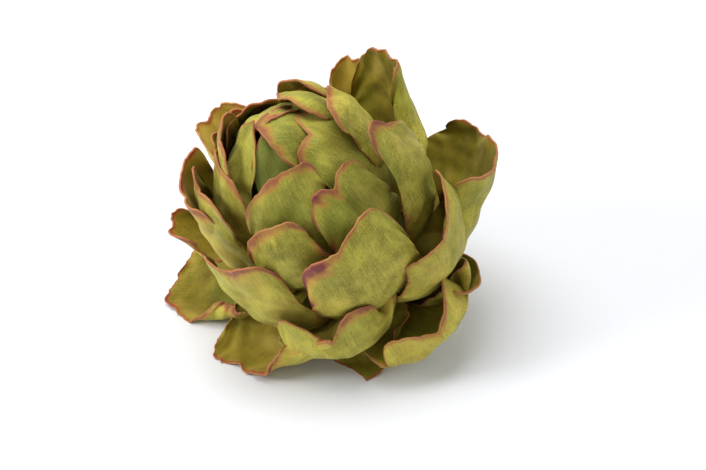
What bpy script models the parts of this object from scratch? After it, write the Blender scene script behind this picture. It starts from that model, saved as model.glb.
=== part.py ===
"""A globe artichoke head with its outer bracts opened, lying on three of them and its cut stem.

Metres, +Z up, resting on z = 0. The bracts sit on one spiral, a golden angle apart, from the
youngest at the tip of the bud to the oldest at the foot of the head. Each is a thin cupped
blade with a notched tip. A rule gives every bract its place and shape from its number, and
HABITS holds the ways in which single bracts depart from it. All blades are fused to the
receptacle with its short cut stem.
"""
import math

import bmesh
import bpy
import numpy as np

MM = 0.001

# ---- where the head lies, in mm and degrees ------------------------------------------------
HEAD_AT = (10.71, 7.65, 15.4)   # middle of the receptacle's foot, over the floor
TILT = 28.0                     # how far the head leans from upright
LEAN = 216.0                    # the way that it leans, from +X towards +Y

# ---- blades, in mm -------------------------------------------------------------------------
ROOT_THICK = 2.4                # at the foot of the midrib
EDGE_THICK = 1.0                # at the margins
PRESSED = 0.25                  # how far the floor flattens a blade that meets it
PLAIN_ROWS = (0.12, 0.45, 0.7, 0.88, 1.0)
PLAIN_COLUMNS = (0.0, 0.4, 0.75, 1.0)
ROLLED_ROWS = (0.0, 0.25, 0.5, 0.7, 0.87, 1.0)
ROLLED_COLUMNS = (0.0, 0.3, 0.55, 0.78, 1.0)

# ---- receptacle and stem, radius and height in mm along the head's axis ---------------------
PROFILE = (
    (9.0, -13.6), (9.2, -6.5), (12.0, -2.5), (18.5, 0.2), (23.0, 6.0), (25.5, 14.0),
    (26.0, 26.0), (24.5, 40.0), (19.0, 54.0), (10.0, 66.0))
CORE_TOP = 72.0
CORE_SIDES = 24
FLAT = 1.0                      # degrees, faces closer to flat than this become one

# ---- the spiral of bracts ------------------------------------------------------------------
GOLDEN_ANGLE = 137.508          # from one bract to the next
YOUNGEST = 5                    # bract number at the tip of the bud
OLDEST = 42
ABSENT = (41,)                  # fallen from the foot

# ---- ways of single bracts -----------------------------------------------------------------
# Lengths are mm and angles degrees. A pair is (side at lower azimuth, side at higher azimuth).
HABITS = {
    5: dict(nudge=-36, tip=(1, 79), width=13, lobes=0.0, slants=(.5, .7)),
    6: dict(nudge=0, tip=(1, 88)),
    7: dict(nudge=-30, tip=(1, 89), width=(13, 9), lobes=0.0, lean=125, rise=78, slants=.6,
             root=(20, 30), belly=.62),
    8: dict(nudge=-6, tip=(0, 85), lean=160, lobes=0.0, slants=(.3, .6), width=(23, 16),
             cup=(64, 46), cup_tip=(64, 50)),
    9: dict(nudge=16, tip=(16, 83), lean=120, width=(17, 19)),
    10: dict(nudge=-22, tip=(23, 83), width=(20, 20), lobes=(0.0, .02), peaks=(.42, .6),
             slants=(.4, 0.0)),
    11: dict(nudge=-6, tip=(8, 84.3), lean=160, slants=(0, .8)),
    12: dict(nudge=-5, tip=(20, 78), lean=125, slants=(0.0, .3)),
    13: dict(nudge=-3, tip=(15, 77), width=18, lean=150),
    14: dict(nudge=0, tip=(18, 77), lean=130),
    15: dict(nudge=-5, tip=(37, 74), width=(10, 21), lean=115, lobes=(.05, .08), peaks=(.42, .6),
             slants=(.4, 0.0)),
    16: dict(nudge=20, tip=(13, 82.5), lean=155, width=(17, 12), belly=.34, lobes=0.0),
    17: dict(nudge=20, tip=(32, 73), lean=115, width=(16, 25), cup=(40, 52), cup_tip=(40, 52)),
    18: dict(nudge=-6, tip=(31, 70), width=20),
    19: dict(nudge=-16, tip=(26, 75), lean=120, width=(18, 14), slants=(0, 1.0)),
    20: dict(nudge=8, tip=(46, 62), lean=95, root=(19, 8), rise=-5, belly=.5, width=21,
             lobes=(.1, .15)),
    21: dict(nudge=12, tip=(25, 81), width=(19, 12), lean=135, belly=.28, lobes=(.17, .06),
             slants=(0, .4)),
    22: dict(nudge=-2, tip=(23, 74), lean=110),
    23: dict(nudge=7, tip=(46, 60), lean=110, root=(19, 10), rise=0, belly=.46, width=(22, 24),
             lobes=(.05, .25), peaks=(.42, .7), drops=(.4, .5), cup=(46, 30), cup_tip=(50, 30),
             taper=(.15, 0.0)),
    24: dict(nudge=0, tip=(30, 66), lean=110, width=15, lobes=.05),
    25: dict(nudge=-12, tip=(33, 71), lean=95, width=(18, 19), lobes=(.1, .05), peaks=(.8, .42),
             drops=(.2, .6), cup=(64, 44), cup_tip=(70, 50)),
    26: dict(nudge=12, tip=(43, 78), lean=105, root=(18, 8), rise=20, width=(18, 17),
             lobes=(.3, 0.0), taper=(.45, .15), slants=(0.0, .9), peaks=(.35, .42)),
    27: dict(nudge=-16, tip=(34, 56), lean=100),
    28: dict(nudge=18, tip=(54, 25), lean=105, root=(20, 2), rise=-8, width=(26, 32),
             cup=(60, 60), cup_tip=(60, 74), curl=(0, 50), lobes=(.4, .3), peaks=(.75, .42),
             drops=(.2, .4)),
    29: dict(nudge=15, tip=(52, 66), lean=80, width=(33, 29), taper=(.45, .2), cup=50,
             cup_tip=(50, 45), curl=(100, 0), lobes=0.0, drops=(.4, 1.1), slants=(0.0, .3),
             peaks=(.42, .2)),
    30: dict(nudge=9, tip=(55, 43), lean=70, width=13, lobes=.05),
    31: dict(nudge=0, tip=(60, 10), lean=108, root=(20, 0), rise=-5, width=(26, 30), cup=(50, 15),
             cup_tip=(40, 94), curl=(0, 10), lobes=(.3, .42), belly=.35, peaks=(.75, .8),
             drops=(.1, .1)),
    32: dict(nudge=-12, tip=(57, 47), lean=80, width=14, lobes=.05, slants=.2),
    33: dict(nudge=8, tip=(62, 16.2), lean=35, width=(20, 44), taper=(.15, .45), cup=(40, 50),
             cup_tip=(50, 55), curl=(0, 80), lobes=(.05, 0.0), drops=(.4, .3)),
    34: dict(nudge=-25, tip=(57, 42), lean=98, root=(20, 0), rise=-10, belly=.4, width=(28, 27),
             cup=(52, 60), cup_tip=(64, 72), curl=(10, 70), lobes=(-.1, .36), peaks=(.3, .6),
             drops=(.2, .4)),
    35: dict(nudge=-1, tip=(51, 55), lean=70, width=18, lobes=(.05, .1), peaks=(.42, .5)),
    36: dict(nudge=0, tip=(56, -2), lean=10, width=(18, 24), lobes=0.0, slants=(.7, .6),
             cup=(44, 15)),
    37: dict(nudge=0, tip=(44, 22), lean=30, width=18),
    38: dict(nudge=2, tip=(71, 18.8), lean=35, width=(20, 26), cup=(30, 50), cup_tip=(40, 60),
             curl=(0, 80), lobes=0.0, slants=(.7, .4)),
    39: dict(nudge=4, tip=(60, 10), lean=40, width=(16, 14), cup_tip=(90, 50), lobes=(.1, -.1),
             drops=(.4, .8), slants=(0.0, .5), root=(21, -2), rise=-8, cup=(10, 44)),
    40: dict(nudge=0, tip=(50, 15), lean=20, width=18),
    42: dict(nudge=-8, tip=(67, 35.5), lean=60, width=(42, 27), cup=(26, 50), cup_tip=(60, 40),
             curl=(62, 0), lobes=(.08, -.18), drops=(.15, .42), slants=(0, 0), peaks=(.8, .42)),
}
TOP = ("lobes", "drops", "peaks", "slants")
PAIRED = ("width", "taper", "cup", "cup_tip", "curl") + TOP


def blend(low, high, share):
    return low + (high - low) * share


def smooth(x, low, high):
    """Smooth step from 0 at low to 1 at high."""
    t = np.clip((x - low) / (high - low), 0.0, 1.0)
    return t * t * (3.0 - 2.0 * t)


def habit(number):
    """All that shapes one bract: the rule for its place on the spiral, then its own ways."""
    age = (number - YOUNGEST) / 35.0
    closed = number < 24
    shape = dict(
        azimuth=GOLDEN_ANGLE * number,
        root=(blend(13.0, 21.0, age), blend(24.0, 4.0, age)),   # radius and height of the foot
        tip=(blend(5.0, 60.0, age), blend(90.0, 15.0, age)),    # radius and height of the notch
        rise=blend(35.0, 5.0, age),                             # slope of the midrib at the foot
        lean=max(118.0, 142.0 - 1.33 * (number - YOUNGEST)) if closed else 40.0,    # at the tip
        belly=0.42,                                             # how full the midrib's arc is
        width=blend(16.0, 22.0, age),                           # half of the greatest width
        taper=0.15,                                             # narrowing towards the tip
        cup=blend(46.0, 44.0, age),                             # turn of the margins at the foot
        cup_tip=blend(50.0, 60.0, age),                         # and at the tip
        curl=0.0,                                               # extra roll of the outer margins
        lobes=0.17 if closed else 0.1,                          # height of the lobes by the notch
        drops=0.4,                                              # fall from notch to shoulders
        peaks=0.42,                                             # where across the lobes are
        slants=0.0,                                             # even fall from notch to margin
        fold=14.0,                                              # crease along the midrib
        wave=0.6)                                               # ruffle of the margins
    shape.update(HABITS.get(number, {}))
    shape["azimuth"] += shape.pop("nudge", 0.0)
    shape["phase"] = np.random.default_rng(number).uniform(0.0, 2.0 * math.pi, 6)
    for key in PAIRED:
        if not isinstance(shape[key], tuple):
            shape[key] = (shape[key], shape[key])
    return shape


def midrib(shape, s):
    """Radius and height of points along the midrib, and its direction there; straight past 1."""
    root, tip = np.array(shape["root"]), np.array(shape["tip"])
    reach = shape["belly"] * np.linalg.norm(tip - root)
    rise, lean = math.radians(shape["rise"]), math.radians(shape["lean"])
    foot = root + reach * np.array([math.cos(rise), math.sin(rise)])
    neck = tip - reach * np.array([math.cos(lean), math.sin(lean)])
    past = np.maximum(s - 1.0, 0.0)[..., None]
    s = np.minimum(s, 1.0)[..., None]
    c = 1.0 - s
    point = c**3 * root + 3 * c * c * s * foot + 3 * c * s * s * neck + s**3 * tip
    slope = c * c * (foot - root) + 2 * c * s * (neck - foot) + s * s * (tip - neck)
    return point + 3 * past * (tip - neck), slope / np.linalg.norm(slope, axis=-1, keepdims=True)


def half_width(s, taper):
    """Share of the greatest half width at s along the midrib: narrow foot, broad shoulders."""
    grow = 0.60 + 0.40 * np.sin(np.clip(s / 0.62, 0.0, 1.0) * math.pi / 2)
    return grow * (1.0 - taper * smooth(s, 0.55, 1.0))


def top_edge(t, lobes, drops, peaks, slants):
    """How far the top edge reaches past the notch, in half widths: up a lobe, down a shoulder."""
    side = np.abs(t)
    lobe = np.where(t < 0, lobes[0], lobes[1])
    drop = np.where(t < 0, drops[0], drops[1])
    peak = np.where(t < 0, peaks[0], peaks[1])
    rising = lobe * np.sin(0.5 * math.pi * np.clip(side / peak, 0.0, 1.0))
    past = np.clip((side - peak) / (1.0 - peak), 0.0, 1.0)
    slant = np.where(t < 0, slants[0], slants[1])
    return rising - (lobe + drop) * (1.0 - np.sqrt(1.0 - past * past)) - slant * side


def half_section(turn, crease, curl, share):
    """One half of a cross-section: how far outwards and inwards, in half widths, and its slope."""
    fine = np.linspace(0.0, 1.0, 65)
    angle = turn * fine + curl * smooth(fine, 0.5, 1.0) - crease * (1.0 - smooth(fine, 0.0, 0.5))
    middle = 0.5 * (angle[1:] + angle[:-1])
    out = np.concatenate([[0.0], np.cumsum(np.cos(middle)) / 64])
    inward = np.concatenate([[0.0], np.cumsum(np.sin(middle)) / 64])
    return [np.interp(share, fine, line) for line in (out, inward, angle)]


def cross_section(shape, s, t):
    """The cross-section at s for all t from -1 to 1: across and inwards in mm, and its slope."""
    near_tip = float(smooth(s, 0.35, 1.0))
    crease = math.radians(shape["fold"]) * near_tip
    across, inward, tilt = np.zeros_like(t), np.zeros_like(t), np.zeros_like(t)
    for side, sign in enumerate((-1.0, 1.0)):
        turn = math.radians(blend(shape["cup"][side], shape["cup_tip"][side], s))
        curl = math.radians(shape["curl"][side]) * near_tip
        chosen = t < 0 if side == 0 else t >= 0
        x, y, slope = half_section(turn, crease, curl, np.abs(t[chosen]))
        width = shape["width"][side] * half_width(s, shape["taper"][side])
        across[chosen], inward[chosen] = sign * x * width, y * width
        tilt[chosen] = np.sign(t[chosen]) * slope
    return across, inward, tilt


def mid_surface(shape, rows, columns):
    """Points halfway through a blade, in mm in the head's own frame, and where its inside faces."""
    s, t = np.meshgrid(rows, columns, indexing="ij")
    length = np.linalg.norm(np.subtract(shape["tip"], shape["root"]))
    past = top_edge(t, *(shape[key] for key in TOP)) * max(shape["width"])
    point, slope = midrib(shape, s + s * s * np.maximum(past / (1.12 * length), -0.45))
    x, y, tilt = np.array([cross_section(shape, row, columns) for row in rows]).swapaxes(0, 1)
    phase = shape["phase"]
    ruffle = np.sin(9 * s + phase[1] + 2 * t) + 0.6 * np.sin(17 * s + phase[2] - 3 * t)
    y = y + shape["wave"] * smooth(s, 0.3, 1.0) * t * t * ruffle
    azimuth = math.radians(shape["azimuth"])
    radial = np.array([math.cos(azimuth), math.sin(azimuth), 0.0])
    around = np.array([-math.sin(azimuth), math.cos(azimuth), 0.0])
    up = np.array([0.0, 0.0, 1.0])
    inwards = slope[..., :1] * up - slope[..., 1:] * radial
    place = point[..., :1] * radial + point[..., 1:] * up
    facing = np.cos(tilt)[..., None] * inwards - np.sin(tilt)[..., None] * around
    return place + x[..., None] * around + y[..., None] * inwards, facing


def head_frame():
    """Turn and shift from the head's own frame to where it lies."""
    tilt, lean = math.radians(TILT), math.radians(LEAN)
    about = np.array([[math.cos(lean), -math.sin(lean), 0.0],
                      [math.sin(lean), math.cos(lean), 0.0],
                      [0.0, 0.0, 1.0]])
    tip_over = np.array([[math.cos(tilt), 0.0, math.sin(tilt)],
                         [0.0, 1.0, 0.0],
                         [-math.sin(tilt), 0.0, math.cos(tilt)]])
    return about @ tip_over @ about.T, np.array(HEAD_AT)


def settle(points):
    turn, shift = head_frame()
    return points @ turn.T + shift


def both_sides(half):
    return np.array([-t for t in reversed(half[1:])] + list(half))


def press(height, least):
    """Heights bent smoothly so that none is under the least, as the floor bends a bract."""
    over = height - least
    return least + 0.5 * (over + np.sqrt(over * over + 0.25))


def blade_points(number):
    """Outer and inner face of a bract as two grids of points, flat where they meet the floor."""
    shape = habit(number)
    rolled = max(shape["curl"]) > 0.0 or max(shape["cup_tip"]) > 75.0
    rows = np.array(ROLLED_ROWS if rolled else PLAIN_ROWS)
    columns = both_sides(ROLLED_COLUMNS if rolled else PLAIN_COLUMNS)
    middle, facing = mid_surface(shape, rows, columns)
    middle = settle(middle)
    s, t = np.meshgrid(rows, columns, indexing="ij")
    thick = blend(ROOT_THICK, EDGE_THICK, np.maximum(smooth(s, 0.1, 0.8), t * t))
    middle[..., 2] = press(middle[..., 2], 0.5 * thick - PRESSED)
    shift = 0.5 * thick[..., None] * (facing @ head_frame()[0].T)
    outer, inner = middle - shift, middle + shift
    outer[..., 2] = np.maximum(outer[..., 2], 0.0)
    return outer, inner


def cell_halves(a, b, c, d, left):
    """Two triangles of a cell, parted so that they fall away from the midrib on both sides."""
    if left:
        return (a, b, c), (b, d, c)
    return (a, b, d), (a, d, c)


def blade_faces(rows, columns):
    """Triangles of a closed blade whose outer grid comes first and inner grid second."""
    inner = rows * columns
    faces = []
    for i in range(rows - 1):
        for j in range(columns - 1):
            a, b = i * columns + j, i * columns + j + 1
            c, d = a + columns, b + columns
            for half in cell_halves(a, b, c, d, j < columns // 2):
                faces.append(half)
                faces.append(tuple(inner + corner for corner in reversed(half)))
    left = [i * columns for i in range(rows)]
    right = [i * columns + columns - 1 for i in range(rows)]
    foot = list(range(columns))
    top = [(rows - 1) * columns + j for j in range(columns)]
    rim = left[::-1] + foot[1:] + right[1:] + top[-2::-1]
    for a, b in zip(rim[:-1], rim[1:]):
        faces += [(b, a, inner + a), (b, inner + a, inner + b)]
    return faces


def new_object(name, points, faces, collection):
    """Object from points in mm and faces, with its normals turned out."""
    mesh = bpy.data.meshes.new(name)
    mesh.from_pydata([tuple(point * MM) for point in points], [], faces)
    work = bmesh.new()
    work.from_mesh(mesh)
    bmesh.ops.recalc_face_normals(work, faces=work.faces)
    work.to_mesh(mesh)
    work.free()
    made = bpy.data.objects.new(name, mesh)
    collection.objects.link(made)
    return made


def make_bract(number, collection):
    outer, inner = blade_points(number)
    rows, columns = outer.shape[:2]
    points = np.concatenate([outer.reshape(-1, 3), inner.reshape(-1, 3)])
    return new_object(f"bract_{number}", points, blade_faces(rows, columns), collection)


def make_receptacle(name, collection):
    """Body of revolution from the stem's cut end to a point inside the bud."""
    points = [(0.0, 0.0, PROFILE[0][1])]
    for radius, height in PROFILE:
        for side in range(CORE_SIDES):
            turn = 2.0 * math.pi * side / CORE_SIDES
            points.append((radius * math.cos(turn), radius * math.sin(turn), height))
    points.append((0.0, 0.0, CORE_TOP))
    faces = []
    for level in range(len(PROFILE)):
        start = 1 + level * CORE_SIDES
        for side in range(CORE_SIDES):
            a, b = start + side, start + (side + 1) % CORE_SIDES
            if level == 0:
                faces.append((0, b, a))
            if level == len(PROFILE) - 1:
                faces.append((a, b, len(points) - 1))
            else:
                faces += [(a, b, b + CORE_SIDES), (a, b + CORE_SIDES, a + CORE_SIDES)]
    settled = settle(np.array(points))
    settled[:, 2] = np.maximum(settled[:, 2], 0.0)
    return new_object(name, settled, faces, collection)


def fuse(target, collection):
    """Join every object of the collection to the target, then remove them."""
    union = target.modifiers.new("fuse", "BOOLEAN")
    union.operation = "UNION"
    union.operand_type = "COLLECTION"
    union.collection = collection
    union.solver = "MANIFOLD"
    bpy.context.view_layer.objects.active = target
    bpy.ops.object.modifier_apply(modifier=union.name)
    for spent in list(collection.objects):
        bpy.data.objects.remove(spent, do_unlink=True)
    bpy.data.collections.remove(collection)


def body_of(start, seen):
    """All faces joined to a face by shared edges."""
    body, waiting = [], [start]
    seen.add(start)
    while waiting:
        face = waiting.pop()
        body.append(face)
        for edge in face.edges:
            for other in edge.link_faces:
                if other not in seen:
                    seen.add(other)
                    waiting.append(other)
    return body


def signed_volume(faces):
    total = 0.0
    for face in faces:
        a = face.verts[0].co
        for b, c in zip(face.verts[1:-1], face.verts[2:]):
            total += a.dot(b.co.cross(c.co)) / 6.0
    return total


def keep_outer_body(target):
    """Fill hollows that fusing sealed and drop loose scraps: only the largest body stays."""
    work = bmesh.new()
    work.from_mesh(target.data)
    seen, bodies = set(), []
    for face in work.faces:
        if face not in seen:
            bodies.append(body_of(face, seen))
    bodies.sort(key=signed_volume)
    spare = [face for body in bodies[:-1] for face in body]
    bmesh.ops.delete(work, geom=spare, context="FACES")
    bmesh.ops.dissolve_limit(
        work, angle_limit=math.radians(FLAT), verts=work.verts, edges=work.edges)
    bmesh.ops.triangulate(work, faces=work.faces)
    work.to_mesh(target.data)
    work.free()


def bract_material():
    """Dull olive green of the outer faces."""
    made = bpy.data.materials.new("bract")
    made.use_nodes = True
    shader = made.node_tree.nodes["Principled BSDF"]
    shader.inputs["Base Color"].default_value = (0.24, 0.21, 0.055, 1.0)
    shader.inputs["Roughness"].default_value = 0.6
    return made


def main():
    for old in list(bpy.data.objects):
        bpy.data.objects.remove(old, do_unlink=True)
    scene_collection = bpy.context.scene.collection
    bracts = bpy.data.collections.new("bracts")
    scene_collection.children.link(bracts)
    for number in range(YOUNGEST, OLDEST + 1):
        if number not in ABSENT:
            make_bract(number, bracts)
    head = make_receptacle("artichoke_head", scene_collection)
    fuse(head, bracts)
    keep_outer_body(head)
    head.data.materials.clear()
    head.data.materials.append(bract_material())


main()
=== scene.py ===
"""The looks of the artichoke: its bracts as fine cupped blades, its skin, and a soft studio.

The bracts follow the same rule as in the part's source, with single habits refined. Lengths are
in millimetres and turn to metres when a mesh is made. Each bract is one piece, and together with
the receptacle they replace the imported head.
"""
import math

import bpy
import numpy as np
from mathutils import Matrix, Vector


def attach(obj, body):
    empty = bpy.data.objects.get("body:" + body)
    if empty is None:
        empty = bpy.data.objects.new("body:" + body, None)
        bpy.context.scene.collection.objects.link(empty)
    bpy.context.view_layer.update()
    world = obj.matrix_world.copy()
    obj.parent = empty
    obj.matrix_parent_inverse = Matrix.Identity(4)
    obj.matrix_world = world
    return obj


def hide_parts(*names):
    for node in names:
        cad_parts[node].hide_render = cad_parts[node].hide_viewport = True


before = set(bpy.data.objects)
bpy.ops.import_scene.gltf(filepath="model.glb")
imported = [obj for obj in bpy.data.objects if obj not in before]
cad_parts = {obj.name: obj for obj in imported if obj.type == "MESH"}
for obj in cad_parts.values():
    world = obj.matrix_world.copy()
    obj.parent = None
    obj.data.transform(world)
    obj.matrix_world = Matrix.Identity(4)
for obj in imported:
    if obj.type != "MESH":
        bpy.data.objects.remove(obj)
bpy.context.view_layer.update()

MM = 0.001                      # in metres
NODE = "artichoke_head"

# ---- where the head lies, in mm and degrees, as in the part's source -----------------------
HEAD_AT = (10.71, 7.65, 15.4)   # middle of the receptacle's foot, over the floor
TILT = 28.0                     # how far the head leans from upright
LEAN = 216.0                    # the way that it leans, from +X towards +Y

# ---- camera and studio, in metres where nothing else is said -------------------------------
VIEW_RISE = 38.0                # degrees above the horizon
VIEW_AWAY = 703.0               # mm from the receptacle's foot
LENS = 95.3                     # mm
SENSOR = 36.0                   # mm across
SHIFT = (-0.003, 0.030)         # of the image, in sensor widths
NEAREST = 0.01                  # distance that the camera still sees
SKY = 0.47                      # strength of the white light from all around
LIGHTS = (                      # name, place, side of the square, watts
    ("key", (-0.15, 0.1, 1.0), 0.7, 8.5),
    ("left", (-0.95, -0.25, 0.55), 0.4, 6.5),
    ("right", (0.85, 0.1, 0.6), 0.6, 1.8))
LIT = (0.0, 0.0, 0.04)          # what the lights face: the middle of the head
FLOOR_SIDE = 6.0
FLOOR_PALE = (0.78, 0.79, 0.825, 1.0)

# ---- the spiral of bracts ------------------------------------------------------------------
GOLDEN_ANGLE = 137.508          # from one bract to the next
YOUNGEST = 5                    # bract number at the tip of the bud
OLDEST = 42
ABSENT = (41,)                  # fallen from the foot
FIRST_OPEN = 24                 # the younger ones are the closed bud
AGES = 35.0                     # bracts over which the rule blends from young to old
HABIT_SEED, WARMTH_SEED, ROUGH_SEED = 0, 100, 500   # a bract's number is added to each

# ---- ways of single bracts -----------------------------------------------------------------
# Lengths are mm and angles degrees. A pair is (side at lower azimuth, side at higher azimuth).
HABITS = {
    5: dict(nudge=-44, tip=(2.5, 85), width=15.5, lobes=0.0, slants=(.7, .7)),
    6: dict(tip=(-1, 84.2), lean=168, lobes=0.0, slants=.3),
    7: dict(nudge=-36, tip=(1, 89), width=(13, 11), lobes=0.0, lean=135, rise=78, slants=.6,
             root=(20, 30), belly=.68),
    8: dict(nudge=-6, tip=(-2.5, 86.2), lean=160, lobes=0.0, slants=(.3, .6), width=(23, 16),
             cup=(64, 46), cup_tip=(64, 50)),
    9: dict(nudge=16, tip=(16, 83), lean=120, width=(17, 19)),
    10: dict(nudge=-22, tip=(23, 83), width=(20, 22), lobes=(0.0, .06), peaks=(.42, .8),
             slants=(.4, 0.0), cup=(46, 66), cup_tip=(51, 74), drops=(.4, .2)),
    11: dict(nudge=-6, tip=(9, 77), lean=160, slants=(0, .8), lobes=0.0),
    12: dict(nudge=-5, tip=(20, 78), lean=125, slants=(0.0, .3)),
    13: dict(nudge=-3, tip=(15, 77), width=18, lean=150, lobes=(.12, .3)),
    14: dict(tip=(18, 77), lean=130),
    15: dict(nudge=-5, tip=(37, 74), width=(10, 21), lean=115, lobes=(.05, .08), peaks=(.42, .6),
             slants=(.4, 0.0)),
    16: dict(nudge=20, tip=(12, 83.3), lean=155, width=(22, 10), belly=.34, lobes=0.0,
             slants=(0, .5)),
    17: dict(nudge=20, tip=(31, 73), lean=115, width=(16, 25), cup=(40, 52), cup_tip=(40, 52),
             belly=.38),
    18: dict(nudge=-6, tip=(31, 70), width=(16, 20), cup=(22, 45), cup_tip=(22, 54)),
    19: dict(nudge=-16, tip=(26, 75), lean=120, width=(18, 17), slants=(0, 1.0)),
    20: dict(nudge=8, tip=(46, 62), lean=95, root=(19, 8), rise=-5, belly=.5, width=21,
             lobes=(.1, .15)),
    21: dict(nudge=12, tip=(25, 81), width=(19, 12), lean=135, belly=.28, lobes=(.17, .06),
             slants=(0, .4)),
    22: dict(nudge=-2, tip=(23, 74), lean=110),
    23: dict(nudge=7, tip=(46, 60), lean=110, root=(19, 10), rise=0, belly=.46, width=(22, 24),
             lobes=(.05, .25), peaks=(.42, .7), drops=(.4, .5), cup=(46, 30), cup_tip=(50, 30),
             taper=(.15, 0.0)),
    24: dict(tip=(30, 66), lean=110, width=15, lobes=.05),
    25: dict(nudge=-2, tip=(36.5, 72), lean=95, width=(26, 22), lobes=(.1, .05), peaks=(.9, .42),
             drops=(.05, .6), cup=(60, 66), cup_tip=(70, 80), slants=(0, 0), belly=.48),
    26: dict(nudge=12, tip=(43, 78), lean=105, root=(18, 8), rise=20, width=(18, 17),
             lobes=(.3, 0.0), taper=(.45, .15), slants=(0.0, .9), peaks=(.35, .42)),
    27: dict(nudge=-16, tip=(34, 56), lean=100),
    28: dict(nudge=18, tip=(54, 25), lean=105, root=(20, 6), rise=-2, width=(26, 32),
             cup=(60, 60), cup_tip=(50, 74), curl=(0, 50), lobes=(.4, .3), peaks=(.6, .42),
             drops=(.2, .4)),
    29: dict(nudge=15, tip=(52, 66), lean=80, width=(33, 29), taper=(.45, .2), cup=50,
             cup_tip=(50, 45), curl=(100, 0), lobes=0.0, drops=(.4, 1.1), slants=(0.0, .3),
             peaks=(.42, .2)),
    30: dict(nudge=9, tip=(55, 43), lean=70, width=(9, 13), lobes=.05),
    31: dict(tip=(60, 10), lean=108, root=(20, 0), rise=-5, width=(26, 30), cup=(50, 15),
             cup_tip=(40, 94), curl=(0, 10), lobes=(.3, .42), belly=.35, peaks=(.75, .8),
             drops=(.1, .1)),
    32: dict(nudge=-12, tip=(57, 47), lean=80, width=14, lobes=.05, slants=.2),
    33: dict(nudge=8, tip=(62, 16.2), lean=35, width=(20, 47), taper=(.15, .45), cup=(40, 49),
             cup_tip=(50, 56), curl=(0, 40), lobes=(.05, 0.0), drops=(.4, .3)),
    34: dict(nudge=-25, tip=(57, 42), lean=98, root=(20, 0), rise=-10, belly=.4, width=(28, 27),
             cup=(52, 60), cup_tip=(64, 72), curl=(10, 70), lobes=(-.1, .36), peaks=(.3, .6),
             drops=(.2, .4)),
    35: dict(nudge=-1, tip=(51, 55), lean=70, width=18, lobes=(.05, .1), peaks=(.42, .5),
             cup=(44, 80), cup_tip=(60, 95)),
    36: dict(tip=(56, -2), lean=10, width=(18, 24), lobes=0.0, slants=(.7, .6),
             cup=(44, 15)),
    37: dict(tip=(44, 22), lean=30, width=18),
    38: dict(nudge=2, tip=(71, 18.8), lean=35, width=(31, 26), cup=(16, 50), cup_tip=(30, 60),
             curl=(0, 80), lobes=0.0, slants=(.45, .4)),
    39: dict(nudge=4, tip=(60, 10), lean=40, width=(16, 14), cup_tip=(90, 50), lobes=(.1, -.1),
             drops=(.4, .8), slants=(0.0, .5), root=(21, -2), rise=-8, cup=(10, 44)),
    40: dict(tip=(50, 15), lean=20, width=18),
    42: dict(nudge=-8, tip=(67, 35.5), lean=60, width=(42, 27), cup=(26, 50), cup_tip=(60, 40),
             curl=(62, 0), lobes=(.08, -.18), drops=(.15, .42), slants=(0, 0), peaks=(.8, .42)),
}
TOP = ("lobes", "drops", "peaks", "slants")
PAIRED = ("width", "taper", "cup", "cup_tip", "curl") + TOP

# ---- blades, in mm and shares of a blade's length or half width ----------------------------
ROOT_THICK = 2.4                # at the foot of the midrib
EDGE_THICK = 0.75               # at the margins
PRESSED = 0.25                  # how far the floor flattens a blade that meets it
FLOOR_BEND = 0.25               # mm squared: how softly it bends there
ARC = 1.12                      # length of a midrib over its chord, roughly
SHORTEST = -0.45                # least reach of the top edge past the notch
FOOT_WIDTH = 0.60               # a blade's width at its foot
SHOULDERS = 0.62                # where along the midrib it is widest
TAPER_FROM = 0.55
RUFFLES = ((1.0, 9, 1, 2), (0.6, 17, 2, -3))    # height, pace along, phase, pace across
SECTION_STEPS = 64
ROWS, COLUMNS = 70, 61
CLOSER_TIP = 1.35               # rows of a grid draw closer towards the tip
CLOSER_SIDES = 0.55             # and columns towards the margins
CRINKLED = (22, 27, 29, 30, 32, 33, 35, 38)     # bracts with nibbled, wavy margins
SMOOTHER = 0.45                 # share of the crinkles' height on the others
# Crinkles: wavelengths and heights of the sines that add up to them, and their first phase.
NIBBLE_SIDE = (9.0, 5.2, 3.1), (0.3, 0.22, 0.14), 0
NIBBLE_TOP = (8.0, 4.6, 2.9), (0.3, 0.25, 0.16), 3
BUCKLE_RISING = (23.0, 14.0), (0.3, 0.2), 6
BUCKLE_FALLING = (19.0, 11.0), (0.25, 0.15), 8
CRIMP_SIDE = (11.0, 6.5), (0.5, 0.25), 10
CRIMP_TOP = (12.0, 7.0), (0.5, 0.25), 12
SIDES_APART = 31.0              # shift between the crinkles of a blade's two sides

# ---- tints of single bracts ----------------------------------------------------------------
# From dark green over olive to golden. The others are drawn at random within USUAL_WARMTH.
USUAL_WARMTH = 0.25
WARMTH = {5: -1.0, 6: -0.4, 7: -0.35, 8: -0.5, 10: -0.45, 12: -0.3, 13: -0.45, 15: -0.2,
          17: -0.2, 18: -0.45, 20: 0.2, 23: 0.1, 25: 0.5, 32: 0.6, 35: 1.0}
# How far rose and purple reach in from the margins: both sides, or lower and higher azimuth.
USUAL_FLUSH = 0.5
FLUSH = {5: 0.2, 6: 0.9, 7: 0.2, 8: 0.7, 9: 0.8, 10: 0.65, 12: 0.7, 14: 0.8, 15: (0.9, 1.1),
         18: (1.3, 0.4), 20: 0.9, 22: 0.8, 23: (1.3, 0.5), 25: 0.9, 26: (0.9, 0.2),
         28: (0.1, 0.8), 29: 0.3, 30: 0.9, 33: (0.4, 1.0), 34: 0.25, 35: 0.8, 36: 0.3,
         38: (0.4, 0.9), 39: 0.3, 42: 0.3}
GRAIN_APART = 37.0              # mm between the bracts' places in the noise textures


def blend(low, high, share):
    """From low at share 0 to high at share 1."""
    return low + (high - low) * share


def smooth(x, low, high):
    """Smooth step from 0 at low to 1 at high."""
    t = np.clip((x - low) / (high - low), 0.0, 1.0)
    return t * t * (3.0 - 2.0 * t)


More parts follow.
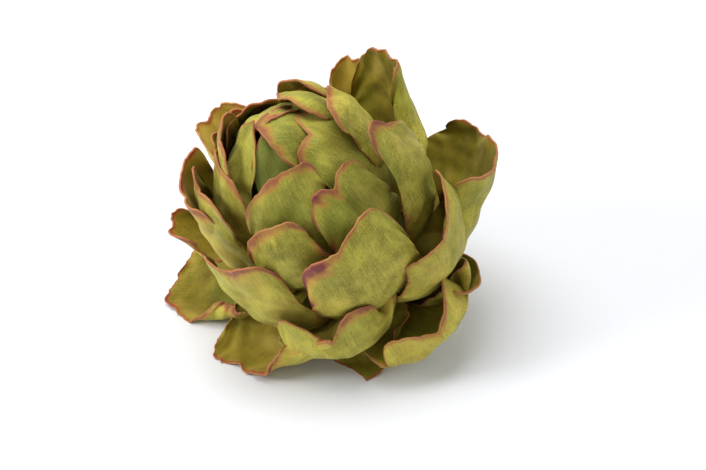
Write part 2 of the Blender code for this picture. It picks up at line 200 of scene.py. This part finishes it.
def habit(number):
    """All that shapes one bract: the rule for its place on the spiral, then its own ways."""
    age = (number - YOUNGEST) / AGES
    closed = number < FIRST_OPEN
    shape = dict(
        azimuth=GOLDEN_ANGLE * number,
        root=(blend(13.0, 21.0, age), blend(24.0, 4.0, age)),   # radius and height of the foot
        tip=(blend(5.0, 60.0, age), blend(90.0, 15.0, age)),    # radius and height of the notch
        rise=blend(35.0, 5.0, age),                             # slope of the midrib at the foot
        lean=max(118.0, 142.0 - 1.33 * (number - YOUNGEST)) if closed else 40.0,    # at the tip
        belly=0.42,                                             # how full the midrib's arc is
        width=blend(16.0, 22.0, age),                           # half of the greatest width
        taper=0.15,                                             # narrowing towards the tip
        cup=blend(46.0, 44.0, age),                             # turn of the margins at the foot
        cup_tip=blend(50.0, 60.0, age),                         # and at the tip
        curl=0.0,                                               # extra roll of the outer margins
        lobes=0.17 if closed else 0.1,                          # height of the lobes by the notch
        drops=0.4,                                              # fall from notch to shoulders
        peaks=0.42,                                             # where across the lobes are
        slants=0.0,                                             # even fall from notch to margin
        fold=14.0,                                              # crease along the midrib
        wave=0.6)                                               # ruffle of the margins
    shape.update(HABITS.get(number, {}))
    shape["azimuth"] += shape.pop("nudge", 0.0)
    shape["phase"] = np.random.default_rng(HABIT_SEED + number).uniform(0.0, 2.0 * math.pi, 6)
    for key in PAIRED:
        if not isinstance(shape[key], tuple):
            shape[key] = (shape[key], shape[key])
    return shape


def midrib(shape, s):
    """Radius and height of points along the midrib, and its direction there; straight past 1."""
    root, tip = np.array(shape["root"]), np.array(shape["tip"])
    reach = shape["belly"] * np.linalg.norm(tip - root)
    rise, lean = math.radians(shape["rise"]), math.radians(shape["lean"])
    foot = root + reach * np.array([math.cos(rise), math.sin(rise)])
    neck = tip - reach * np.array([math.cos(lean), math.sin(lean)])
    past = np.maximum(s - 1.0, 0.0)[..., None]
    s = np.minimum(s, 1.0)[..., None]
    c = 1.0 - s
    point = c**3 * root + 3 * c * c * s * foot + 3 * c * s * s * neck + s**3 * tip
    slope = c * c * (foot - root) + 2 * c * s * (neck - foot) + s * s * (tip - neck)
    return point + 3 * past * (tip - neck), slope / np.linalg.norm(slope, axis=-1, keepdims=True)


def half_width(s, taper):
    """Share of the greatest half width at s along the midrib: narrow foot, broad shoulders."""
    grow = blend(FOOT_WIDTH, 1.0, np.sin(np.clip(s / SHOULDERS, 0.0, 1.0) * math.pi / 2))
    return grow * (1.0 - taper * smooth(s, TAPER_FROM, 1.0))


def top_edge(t, lobes, drops, peaks, slants):
    """How far the top edge reaches past the notch, in half widths: up a lobe, down a shoulder."""
    side = np.abs(t)
    lobe, drop, peak, slant = (np.where(t < 0, *pair) for pair in (lobes, drops, peaks, slants))
    rising = lobe * np.sin(0.5 * math.pi * np.clip(side / peak, 0.0, 1.0))
    past = np.clip((side - peak) / (1.0 - peak), 0.0, 1.0)
    return rising - (lobe + drop) * (1.0 - np.sqrt(1.0 - past * past)) - slant * side


def half_section(turn, crease, curl, share):
    """One half of a cross-section: how far outwards and inwards, in half widths, and its slope."""
    fine = np.linspace(0.0, 1.0, SECTION_STEPS + 1)
    angle = turn * fine + curl * smooth(fine, 0.5, 1.0) - crease * (1.0 - smooth(fine, 0.0, 0.5))
    middle = 0.5 * (angle[1:] + angle[:-1])
    out = np.concatenate([[0.0], np.cumsum(np.cos(middle)) / SECTION_STEPS])
    inward = np.concatenate([[0.0], np.cumsum(np.sin(middle)) / SECTION_STEPS])
    return [np.interp(share, fine, line) for line in (out, inward, angle)]


def cross_section(shape, s, t):
    """The cross-section at s for all t from -1 to 1: across and inwards in mm, and its slope."""
    near_tip = float(smooth(s, 0.35, 1.0))
    crease = math.radians(shape["fold"]) * near_tip
    across, inward, tilt = np.zeros_like(t), np.zeros_like(t), np.zeros_like(t)
    for side, sign in enumerate((-1.0, 1.0)):
        turn = math.radians(blend(shape["cup"][side], shape["cup_tip"][side], s))
        curl = math.radians(shape["curl"][side]) * near_tip
        chosen = t < 0 if side == 0 else t >= 0
        x, y, slope = half_section(turn, crease, curl, np.abs(t[chosen]))
        width = shape["width"][side] * half_width(s, shape["taper"][side])
        across[chosen], inward[chosen] = sign * x * width, y * width
        tilt[chosen] = np.sign(t[chosen]) * slope
    return across, inward, tilt


def mid_surface(shape, rows, columns):
    """Points halfway through a blade, in the head's own frame, and where its inside faces."""
    s, t = np.meshgrid(rows, columns, indexing="ij")
    length = np.linalg.norm(np.subtract(shape["tip"], shape["root"]))
    past = top_edge(t, *(shape[key] for key in TOP)) * max(shape["width"])
    point, slope = midrib(shape, s + s * s * np.maximum(past / (ARC * length), SHORTEST))
    x, y, tilt = np.array([cross_section(shape, row, columns) for row in rows]).swapaxes(0, 1)
    phase = shape["phase"]
    ruffle = sum(height * np.sin(along * s + phase[k] + over * t)
                 for height, along, k, over in RUFFLES)
    y = y + shape["wave"] * smooth(s, 0.3, 1.0) * t * t * ruffle
    azimuth = math.radians(shape["azimuth"])
    radial = np.array([math.cos(azimuth), math.sin(azimuth), 0.0])
    around = np.array([-math.sin(azimuth), math.cos(azimuth), 0.0])
    up = np.array([0.0, 0.0, 1.0])
    inwards = slope[..., :1] * up - slope[..., 1:] * radial
    place = point[..., :1] * radial + point[..., 1:] * up
    facing = np.cos(tilt)[..., None] * inwards - np.sin(tilt)[..., None] * around
    return place + x[..., None] * around + y[..., None] * inwards, facing


def head_frame():
    """Turn and shift from the head's own frame to where it lies."""
    tilt, lean = math.radians(TILT), math.radians(LEAN)
    about = np.array([[math.cos(lean), -math.sin(lean), 0.0],
                      [math.sin(lean), math.cos(lean), 0.0],
                      [0.0, 0.0, 1.0]])
    tip_over = np.array([[math.cos(tilt), 0.0, math.sin(tilt)],
                         [0.0, 1.0, 0.0],
                         [-math.sin(tilt), 0.0, math.cos(tilt)]])
    return about @ tip_over @ about.T, np.array(HEAD_AT)


def settle(points):
    """Points of the head's own frame where they lie."""
    turn, shift = head_frame()
    return points @ turn.T + shift


def press(height, least):
    """Heights bent smoothly so that none is under the least, as the floor bends a bract."""
    over = height - least
    return least + 0.5 * (over + np.sqrt(over * over + FLOOR_BEND))


def margin_distance(middle):
    """How far each grid point is from the blade's margin, in mm along the surface."""
    step_t = np.linalg.norm(np.diff(middle, axis=1), axis=-1)
    run = np.concatenate([np.zeros((len(step_t), 1)), np.cumsum(step_t, axis=1)], axis=1)
    side = np.minimum(run, run[:, -1:] - run)
    step_s = np.linalg.norm(np.diff(middle, axis=0), axis=-1)
    climb = np.concatenate([np.zeros((1, step_s.shape[1])), np.cumsum(step_s, axis=0)], axis=0)
    top = climb[-1:] - climb
    return np.minimum(side, top)


def ripple(distance, crinkle, phases):
    """Sum of a crinkle's sines along a distance in mm."""
    lengths, heights, first = crinkle
    parts = [height * np.sin(2.0 * math.pi * distance / length + phase)
             for length, height, phase in zip(lengths, heights, phases[first:])]
    return np.sum(parts, axis=0)


def unit_steps(middle, axis):
    """Directions of a grid's lines along an axis, with length 1."""
    steps = np.gradient(middle, axis=axis)
    return steps / (np.linalg.norm(steps, axis=-1, keepdims=True) + 1e-9)


def roughen(middle, facing, s, t, reach, number):
    """Nibble the margins and buckle the blade by fractions of a mm, as a real bract is."""
    phase = np.random.default_rng(ROUGH_SEED + number).uniform(0.0, 2.0 * math.pi, 16)
    share = 1.0 if number in CRINKLED else SMOOTHER
    height, width = s * reach[0], t * reach[1]
    side = share * smooth(np.abs(t), 0.8, 1.0) * smooth(s, 0.3, 0.6)
    top = share * smooth(s, 0.9, 1.0)
    nibble_side = ripple(height + SIDES_APART * np.sign(t), NIBBLE_SIDE, phase)
    nibble_top = ripple(width, NIBBLE_TOP, phase)
    buckle = ripple(height + 0.7 * width, BUCKLE_RISING, phase)
    buckle += ripple(height - 0.8 * width, BUCKLE_FALLING, phase)
    crimp = ripple(height, CRIMP_SIDE, phase) * side + ripple(width, CRIMP_TOP, phase) * top
    out = buckle * smooth(s, 0.15, 0.5) + crimp
    along, across = unit_steps(middle, 0), unit_steps(middle, 1)
    middle = middle + (side * np.sign(t) * nibble_side)[..., None] * across
    return middle + (top * nibble_top)[..., None] * along + out[..., None] * facing


def blade_grids(number):
    """Outer and inner face of a bract as grids, and what its skin needs to know there."""
    shape = habit(number)
    u = np.linspace(0.0, 1.0, ROWS)
    v = np.linspace(-1.0, 1.0, COLUMNS)
    rows = 1.0 - (1.0 - u) ** CLOSER_TIP
    columns = blend(v, np.sin(0.5 * math.pi * v), CLOSER_SIDES)
    middle, facing = mid_surface(shape, rows, columns)
    s, t = np.meshgrid(rows, columns, indexing="ij")
    length = np.linalg.norm(np.subtract(shape["tip"], shape["root"])) * ARC
    reach = length, np.mean(shape["width"])
    middle = settle(roughen(middle, facing, s, t, reach, number))
    thick = blend(ROOT_THICK, EDGE_THICK, np.maximum(smooth(s, 0.1, 0.8), t * t))
    middle[..., 2] = press(middle[..., 2], 0.5 * thick - PRESSED)
    shift = 0.5 * thick[..., None] * (facing @ head_frame()[0].T)
    outer, inner = middle - shift, middle + shift
    outer[..., 2] = np.maximum(outer[..., 2], 0.0)
    flush = np.broadcast_to(FLUSH.get(number, USUAL_FLUSH), 2)
    skin = dict(
        margin=margin_distance(middle),
        notch=np.linalg.norm(middle - middle[-1, COLUMNS // 2], axis=-1),
        along=s,
        flush=blend(*flush, smooth(t, -0.3, 0.3)),
        grain=np.stack([t * reach[1], s * reach[0], np.full_like(s, GRAIN_APART * number)],
                       axis=-1))
    return outer, inner, skin


def blade_faces(rows, columns):
    """Quads of a closed blade whose outer grid comes first and inner grid second, facing out."""
    inner = rows * columns
    i, j = np.meshgrid(np.arange(rows - 1), np.arange(columns - 1), indexing="ij")
    a = (i * columns + j).ravel()
    outer_quads = np.stack([a, a + 1, a + columns + 1, a + columns], axis=1)
    inner_quads = inner + outer_quads[:, ::-1]
    left = np.arange(rows) * columns
    right = left + columns - 1
    foot = np.arange(columns)
    top = (rows - 1) * columns + foot
    rim = np.concatenate([left[::-1], foot[1:], right[1:], top[-2::-1]])
    rim_quads = np.stack([rim[1:], rim[:-1], inner + rim[:-1], inner + rim[1:]], axis=1)
    return np.concatenate([outer_quads, inner_quads, rim_quads])


def mesh_object(name, points, faces, materials, slots):
    """Object from points in mm, smooth where the material is the first."""
    mesh = bpy.data.meshes.new(name)
    mesh.from_pydata((points * MM).tolist(), [], faces)
    for material in materials:
        mesh.materials.append(material)
    mesh.polygons.foreach_set("material_index", slots)
    mesh.polygons.foreach_set("use_smooth", [slot == 0 for slot in slots])
    mesh.update()
    made = bpy.data.objects.new(name, mesh)
    bpy.context.scene.collection.objects.link(made)
    return made


def add_attribute(mesh, name, values):
    """A number or a vector at each point of a mesh."""
    vector = values.ndim > 1
    attribute = mesh.attributes.new(name, "FLOAT_VECTOR" if vector else "FLOAT", "POINT")
    attribute.data.foreach_set("vector" if vector else "value", values.ravel())


def make_bract(number, material):
    """One bract as a closed blade, with what its skin reads at each point."""
    outer, inner, skin = blade_grids(number)
    rows, columns = outer.shape[:2]
    points = np.concatenate([outer.reshape(-1, 3), inner.reshape(-1, 3)])
    faces = blade_faces(rows, columns).tolist()
    made = mesh_object(f"bract_{number:02d}", points, faces, [material], [0] * len(faces))
    count = rows * columns
    for name in ("margin", "notch", "along", "flush"):
        add_attribute(made.data, name, np.tile(skin[name].ravel(), 2))
    add_attribute(made.data, "inner", np.repeat([0.0, 1.0], count))
    add_attribute(made.data, "grain", np.tile(skin["grain"].reshape(-1, 3), (2, 1)))
    drawn = np.random.default_rng(WARMTH_SEED + number).uniform(-USUAL_WARMTH, USUAL_WARMTH)
    add_attribute(made.data, "warm", np.full(2 * count, WARMTH.get(number, drawn)))
    return made


# ---- receptacle and stem, in mm along and around the head's axis ---------------------------
PROFILE = (                     # radius and height
    (9.0, -13.6), (9.2, -6.5), (12.0, -2.5), (18.5, 0.2), (23.0, 6.0), (25.5, 14.0),
    (26.0, 26.0), (24.5, 40.0), (19.0, 54.0), (10.0, 66.0))
CORE_TOP = 72.0
CORE_SIDES = 96
STEM_RIBS = 11
RIB_HEIGHT = 0.025              # in stem radii
RIBS_FADE = (-6.0, 0.0)         # between these heights
CUT_RINGS = (3.0, 5.5, 7.5, 8.6)    # radii of the cut face's rings


def make_receptacle(skin, cut):
    """Body of revolution from the stem's cut end to a point inside the bud, its stem ribbed."""
    radii, heights = np.array(PROFILE).T
    foot, top = heights[0], heights[-1]
    levels = np.concatenate([np.linspace(foot, 0.0, 15), np.linspace(2.0, top, 22)])
    around = np.linspace(0.0, 2.0 * math.pi, CORE_SIDES, endpoint=False)
    h, turn = np.meshgrid(levels, around, indexing="ij")
    ribs = 1.0 + RIB_HEIGHT * np.sin(STEM_RIBS * turn) * (1.0 - smooth(h, *RIBS_FADE))
    r = np.interp(h, heights, radii) * ribs
    end_r, end_turn = np.meshgrid(CUT_RINGS, around, indexing="ij")
    r, turn = np.concatenate([end_r, r]), np.concatenate([end_turn, turn])
    h = np.concatenate([np.full_like(end_r, foot), h])
    rings = np.stack([r * np.cos(turn), r * np.sin(turn), h], axis=-1).reshape(-1, 3)
    points = settle(np.array([(0.0, 0.0, foot), *rings, (0.0, 0.0, CORE_TOP)]))
    points[:, 2] = np.maximum(points[:, 2], 0.0)
    last = len(rings) - CORE_SIDES + 1
    pairs = [(k, (k + 1) % CORE_SIDES) for k in range(CORE_SIDES)]
    starts = range(1, last, CORE_SIDES)
    faces = [(0, 1 + n, 1 + k) for k, n in pairs]
    faces += [(start + k, start + n, start + n + CORE_SIDES, start + k + CORE_SIDES)
              for start in starts for k, n in pairs]
    faces += [(last + k, last + n, len(points) - 1) for k, n in pairs]
    cut_faces = (1 + len(CUT_RINGS)) * CORE_SIDES
    slots = [1] * cut_faces + [0] * (len(faces) - cut_faces)
    return mesh_object("receptacle", points, faces, [skin, cut], slots)


# ---- materials -----------------------------------------------------------------------------
SOCKETS = {"rough": "Roughness", "specular": "Specular IOR Level", "sheen": "Sheen Weight",
           "sheen_rough": "Sheen Roughness"}


class Nodes:
    """Short calls for building a material's node tree."""

    def __init__(self, name):
        self.material = bpy.data.materials.new(name)
        self.material.use_nodes = True
        self.tree = self.material.node_tree
        self.shader = self.tree.nodes["Principled BSDF"]

    def painted(self, colour, **constants):
        """The material, with a colour and constants on its shader's sockets."""
        self.put(self.shader.inputs["Base Color"], colour)
        for key, value in constants.items():
            self.shader.inputs[SOCKETS[key]].default_value = value
        return self.material

    def link(self, source, target):
        self.tree.links.new(source, target)

    def put(self, socket, value):
        if isinstance(value, bpy.types.NodeSocket):
            self.link(value, socket)
        else:
            socket.default_value = value

    def attribute(self, name, vector=False):
        node = self.tree.nodes.new("ShaderNodeAttribute")
        node.attribute_name = name
        return node.outputs["Vector" if vector else "Fac"]

    def place(self):
        """Where a point is, in metres."""
        return self.tree.nodes.new("ShaderNodeTexCoord").outputs["Object"]

    def noise(self, vector, scale, detail=3.0, rough=0.5):
        node = self.tree.nodes.new("ShaderNodeTexNoise")
        self.link(vector, node.inputs["Vector"])
        node.inputs["Scale"].default_value = scale
        node.inputs["Detail"].default_value = detail
        node.inputs["Roughness"].default_value = rough
        return node.outputs["Fac"]

    def scaled(self, vector, by):
        node = self.tree.nodes.new("ShaderNodeVectorMath")
        node.operation = "MULTIPLY"
        self.link(vector, node.inputs[0])
        node.inputs[1].default_value = by
        return node.outputs["Vector"]

    def math(self, operation, a, b, clamp=False):
        node = self.tree.nodes.new("ShaderNodeMath")
        node.operation = operation
        node.use_clamp = clamp
        self.put(node.inputs[0], a)
        self.put(node.inputs[1], b)
        return node.outputs["Value"]

    def add(self, a, b):
        return self.math("ADD", a, b)

    def times(self, a, b):
        return self.math("MULTIPLY", a, b)

    def span(self, value, low, high, to_low=0.0, to_high=1.0):
        """Smoothly maps low..high to to_low..to_high."""
        node = self.tree.nodes.new("ShaderNodeMapRange")
        node.interpolation_type = "SMOOTHSTEP"
        self.link(value, node.inputs["Value"])
        for key, number in (("From Min", low), ("From Max", high),
                            ("To Min", to_low), ("To Max", to_high)):
            node.inputs[key].default_value = number
        return node.outputs["Result"]

    def mix(self, share, a, b):
        """Colour a at share 0 and b at share 1."""
        node = self.tree.nodes.new("ShaderNodeMix")
        node.data_type = "RGBA"
        self.put(node.inputs["Factor"], share)
        self.put(node.inputs["A"], a)
        self.put(node.inputs["B"], b)
        return node.outputs["Result"]

    def bump(self, height, distance, strength):
        node = self.tree.nodes.new("ShaderNodeBump")
        node.inputs["Distance"].default_value = distance
        node.inputs["Strength"].default_value = strength
        self.link(height, node.inputs["Height"])
        self.link(node.outputs["Normal"], self.shader.inputs["Normal"])


def rgb(red, green, blue):
    """Linear colour from 8-bit sRGB numbers."""
    def linear(value):
        c = value / 255.0
        return c / 12.92 if c <= 0.04045 else ((c + 0.055) / 1.055) ** 2.4
    return (linear(red), linear(green), linear(blue), 1.0)


# Flesh of a bract
OUTER_DARK = rgb(114, 108, 24)
OUTER_LIGHT = rgb(208, 196, 80)
INNER_DARK = rgb(104, 91, 14)
INNER_LIGHT = rgb(160, 142, 38)
FOOT = rgb(184, 178, 78)
DEEP_GREEN = rgb(84, 100, 30)
FRESH_GREEN = rgb(132, 142, 48)
GOLD = rgb(206, 178, 78)
FELT = rgb(196, 190, 104)
SPOT = rgb(92, 74, 28)
# Its margin, from the rim inwards: rose in general, purple in patches, rust on the inside
# The rim's own rose-brown, lightened by a painted highlight where the edge's thickness catches
# light
RIM_ROSE_AND_HIGHLIGHT = rgb(178, 104, 74)
ROSE = rgb(166, 82, 60)
PURPLE = rgb(124, 62, 58)
RUST = rgb(156, 58, 44)
BLUSH = rgb(190, 116, 60)
OCHRE = rgb(190, 156, 56)
# Stem and its cut face
STEM_DARK = rgb(104, 110, 48)
STEM_LIGHT = rgb(160, 156, 84)
CUT_DARK = rgb(196, 190, 140)
CUT_LIGHT = rgb(226, 220, 178)
CUT_BROWN = rgb(140, 104, 58)

# How far the margin's colours reach in, in mm on the outer face
THIN_RIM = 0.6
FLUSH_REACH = 4.5               # by the notch
NOTCH_REACH = 2.5               # of that, what is lost away from the notch
PATCH_REACH = 4.5               # more in the patches
INNER_REACH = 0.55              # share of it on the inner face
UNEVEN = 1.6


def flesh_colour(n, grain, mottle, fibres, speckle):
    """Olive of the blade away from its margins: outer and inner face, foot and single tints."""
    along = n.attribute("along")
    warm = n.attribute("warm")
    tone = n.add(n.times(mottle, 0.45), n.times(fibres, 0.28))
    tone = n.span(n.add(tone, n.times(speckle, 0.27)), 0.34, 0.68)
    outer_colour = n.mix(tone, OUTER_DARK, OUTER_LIGHT)
    outer_colour = n.mix(n.span(along, 0.0, 0.5, 0.4, 0.0), outer_colour, FOOT)
    inner_colour = n.mix(tone, INNER_DARK, INNER_LIGHT)
    outer = n.math("LESS_THAN", n.attribute("inner"), 0.5)
    colour = n.mix(outer, inner_colour, outer_colour)
    drift = n.noise(grain, 0.05, detail=2.0)
    colour = n.mix(n.span(drift, 0.3, 0.5, 0.45, 0.0), colour, FRESH_GREEN)
    colour = n.mix(n.span(drift, 0.5, 0.7, 0.0, 0.35), colour, GOLD)
    colour = n.mix(n.span(warm, -1.0, 0.0, 0.8, 0.0), colour, DEEP_GREEN)
    colour = n.mix(n.span(warm, 0.0, 1.0, 0.0, 0.8), colour, GOLD)
    colour = n.mix(n.times(n.span(speckle, 0.5, 0.75, 0.0, 0.3), outer), colour, FELT)
    spots = n.noise(grain, 0.75, detail=1.0)
    return n.mix(n.span(spots, 0.72, 0.78, 0.0, 0.55), colour, SPOT)


def margin_tint(n, colour, cloud, speckle):
    """Rose, purple and ochre by the margins: wide by the notch and in patches, else thin. At the
    very rim the rose is lighter: the rim's own colour with a painted highlight.
    """
    outer = n.math("LESS_THAN", n.attribute("inner"), 0.5)
    flush = n.attribute("flush")
    patch = n.span(cloud, 0.40, 0.62)
    flushed = n.times(patch, flush)
    from_notch = n.span(n.attribute("notch"), 4.0, 18.0)
    reach = n.math("SUBTRACT", FLUSH_REACH, n.times(from_notch, NOTCH_REACH))
    reach = n.add(n.times(patch, PATCH_REACH), reach)
    reach = n.times(reach, n.add(INNER_REACH, n.times(outer, 1.0 - INNER_REACH)))
    width = n.add(THIN_RIM, n.times(reach, flush))
    uneven = n.times(n.math("SUBTRACT", speckle, 0.5), UNEVEN)
    # From 0 at the rim to 1 where the flesh's own colour begins
    depth = n.math("DIVIDE", n.add(n.attribute("margin"), uneven), width, clamp=True)
    rose = n.mix(n.times(n.times(flushed, outer), 0.85), n.mix(outer, RUST, ROSE), PURPLE)
    # Painted highlight: the outermost band takes the lighter rim rose, partly the rim's own colour
    tint = n.mix(n.span(depth, 0.0, 0.08), RIM_ROSE_AND_HIGHLIGHT, rose)
    tint = n.mix(n.span(depth, 0.25, 0.55), tint, BLUSH)
    tint = n.mix(n.span(depth, 0.5, 0.9), tint, OCHRE)
    most = n.add(0.62, n.times(flushed, 0.38))
    amount = n.times(n.span(depth, 0.1, 1.0, 1.0, 0.0), most)
    amount = n.times(amount, n.span(n.attribute("along"), 0.2, 0.7))
    return n.mix(amount, colour, tint)


def bract_skin():
    """Skin of all bracts; the scales of its noises are per mm of the blade."""
    n = Nodes("bract_skin")
    grain = n.attribute("grain", vector=True)
    cloud = n.noise(grain, 0.09, detail=3.0, rough=0.6)
    mottle = n.noise(grain, 0.12, detail=5.0, rough=0.65)
    speckle = n.noise(grain, 2.2, detail=3.0, rough=0.7)
    fibres = n.noise(n.scaled(grain, (1.8, 0.12, 1.0)), 1.0, detail=4.0, rough=0.65)
    colour = flesh_colour(n, grain, mottle, fibres, speckle)
    colour = margin_tint(n, colour, cloud, speckle)
    n.bump(n.add(n.times(fibres, 0.6), n.times(speckle, 0.3)), 0.6 * MM, 0.4)
    return n.painted(colour, rough=0.6, specular=0.25, sheen=0.04, sheen_rough=0.5)


def stem_skin():
    n = Nodes("stem_skin")
    mottle = n.noise(n.place(), 220.0, detail=5.0)
    n.bump(mottle, 0.8 * MM, 0.5)
    return n.painted(n.mix(mottle, STEM_DARK, STEM_LIGHT), rough=0.65)


def cut_flesh():
    n = Nodes("cut_flesh")
    place = n.place()
    fibres = n.noise(place, 900.0, detail=4.0)
    browning = n.noise(place, 160.0, detail=4.0)
    colour = n.mix(fibres, CUT_DARK, CUT_LIGHT)
    colour = n.mix(n.span(browning, 0.5, 0.75, 0.0, 0.6), colour, CUT_BROWN)
    n.bump(fibres, 0.5 * MM, 0.5)
    return n.painted(colour, rough=0.7)


def floor_paper():
    return Nodes("floor_paper").painted(FLOOR_PALE, rough=0.9, specular=0.1)


# ---- studio --------------------------------------------------------------------------------
def make_camera():
    rise = math.radians(VIEW_RISE)
    away = Vector((0.0, -math.cos(rise), math.sin(rise))) * VIEW_AWAY * MM
    data = bpy.data.cameras.new("camera")
    data.lens = LENS
    data.sensor_width = SENSOR
    data.shift_x, data.shift_y = SHIFT
    data.clip_start = NEAREST
    camera = bpy.data.objects.new("camera", data)
    camera.location = Vector(HEAD_AT) * MM + away
    camera.rotation_euler = (math.radians(90.0 - VIEW_RISE), 0.0, 0.0)
    bpy.context.scene.collection.objects.link(camera)
    bpy.context.scene.camera = camera


def area_light(name, place, size, watts):
    """A square white light that faces the middle of the head."""
    data = bpy.data.lights.new(name, "AREA")
    data.energy = watts
    data.size = size
    lamp = bpy.data.objects.new(name, data)
    lamp.location = place
    aim = Vector(LIT) - Vector(place)
    lamp.rotation_euler = aim.to_track_quat("-Z", "Y").to_euler()
    bpy.context.scene.collection.objects.link(lamp)


def make_studio():
    bpy.context.scene.view_settings.view_transform = "Standard"
    world = bpy.data.worlds.new("studio")
    world.use_nodes = True
    background = world.node_tree.nodes["Background"]
    background.inputs["Color"].default_value = (1.0, 1.0, 1.0, 1.0)
    background.inputs["Strength"].default_value = SKY
    bpy.context.scene.world = world
    for light in LIGHTS:
        area_light(*light)
    bpy.ops.mesh.primitive_plane_add(size=FLOOR_SIDE)
    floor = bpy.context.object
    floor.name = "floor"
    floor.data.materials.append(floor_paper())


def dress(piece):
    """One piece of the visible head."""
    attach(piece, "root")
    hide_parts(NODE)


def main():
    make_camera()
    make_studio()
    skin = bract_skin()
    for number in range(YOUNGEST, OLDEST + 1):
        if number not in ABSENT:
            dress(make_bract(number, skin))
    dress(make_receptacle(stem_skin(), cut_flesh()))


main()
